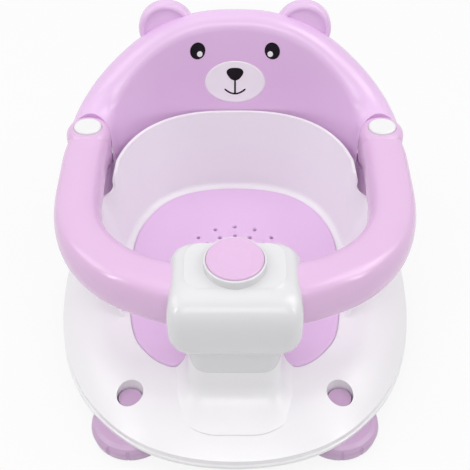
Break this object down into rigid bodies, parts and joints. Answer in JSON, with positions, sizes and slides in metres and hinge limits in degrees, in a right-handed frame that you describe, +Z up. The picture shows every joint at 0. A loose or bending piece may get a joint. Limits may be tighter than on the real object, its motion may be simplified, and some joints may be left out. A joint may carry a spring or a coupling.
{
  "type": "baby bath seat",
  "caption": "Moulded baby bath seat with a round deck on suction feet, a tall rounded backrest with ears, a soft pad and a lift-off ring guard with push-button latches.",
  "frame": {"origin": "on the floor, under the middle of the base's outline", "axes": "+X to the right as seen from the front, +Y from the front column to the backrest, +Z up"},
  "size_m": [0.3324, 0.3864, 0.2476],
  "materials": {
    "white_shell": "smooth moulded",
    "lilac_backrest": "smooth moulded",
    "lilac_guard": "smooth moulded",
    "lilac_pad": "matt, soft",
    "lilac_paw": "smooth moulded",
    "clear_soft": "soft, slightly glossy",
    "slide_grey": "plain moulded",
    "screw_steel": "plain",
    "spring_steel": "drawn wire"
  },
  "bodies": {
    "seat": {"seat_base": "white_shell", "backrest": "lilac_backrest", "seat_pad": "lilac_pad", "latch_post": "white_shell", "foot_front_left": "lilac_paw", "foot_front_right": "lilac_paw", "foot_rear_left": "lilac_paw", "foot_rear_right": "lilac_paw", "suction_cup_front_left": "clear_soft", "suction_cup_front_right": "clear_soft", "suction_cup_rear_left": "clear_soft", "suction_cup_rear_right": "clear_soft", "foot_screws": "screw_steel", "backrest_screws": "screw_steel", "post_screws": "screw_steel"},
    "guard": {"arm_left_upper_shell": "lilac_guard", "arm_left_lower_shell": "lilac_guard", "arm_right_upper_shell": "lilac_guard", "arm_right_lower_shell": "lilac_guard", "head_cover": "white_shell", "head_neck": "white_shell", "front_latch_spring": "spring_steel", "left_latch_spring": "spring_steel", "right_latch_spring": "spring_steel", "head_screws": "screw_steel", "arm_screws": "screw_steel"},
    "front_button": {"front_button": "lilac_guard"},
    "front_latch": {"front_latch": "slide_grey"},
    "left_button": {"left_release_button": "white_shell"},
    "left_latch": {"left_latch": "slide_grey"},
    "right_button": {"right_release_button": "white_shell"},
    "right_latch": {"right_latch": "slide_grey"}
  },
  "joints": [
    {"name": "guard_lift", "type": "slide", "parent": "seat", "child": "guard", "axis": [0, 0, 1], "range_m": [0, 0.12]},
    {"name": "front_button_press", "type": "slide", "parent": "guard", "child": "front_button", "axis": [0, 0, -1], "range_m": [0, 0.004], "stiffness_N_per_m": 250, "springref_m": -0.004},
    {"name": "left_button_press", "type": "slide", "parent": "guard", "child": "left_button", "axis": [0, 0, -1], "range_m": [0, 0.004], "stiffness_N_per_m": 250, "springref_m": -0.004},
    {"name": "right_button_press", "type": "slide", "parent": "guard", "child": "right_button", "axis": [0, 0, -1], "range_m": [0, 0.004], "stiffness_N_per_m": 250, "springref_m": -0.004},
    {"name": "front_latch_slide", "type": "slide", "parent": "guard", "child": "front_latch", "axis": [0, 1, 0], "range_m": [0, 0.004], "deforming": ["front_latch_spring"]},
    {"name": "left_latch_slide", "type": "slide", "parent": "guard", "child": "left_latch", "axis": [0, -1, 0], "range_m": [0, 0.004], "deforming": ["left_latch_spring"]},
    {"name": "right_latch_slide", "type": "slide", "parent": "guard", "child": "right_latch", "axis": [0, -1, 0], "range_m": [0, 0.004], "deforming": ["right_latch_spring"]}
  ],
  "couplings": [
    {"joint": "front_latch_slide", "follows": "front_button_press", "ratio": 1},
    {"joint": "left_latch_slide", "follows": "left_button_press", "ratio": 1},
    {"joint": "right_latch_slide", "follows": "right_button_press", "ratio": 1}
  ]
}
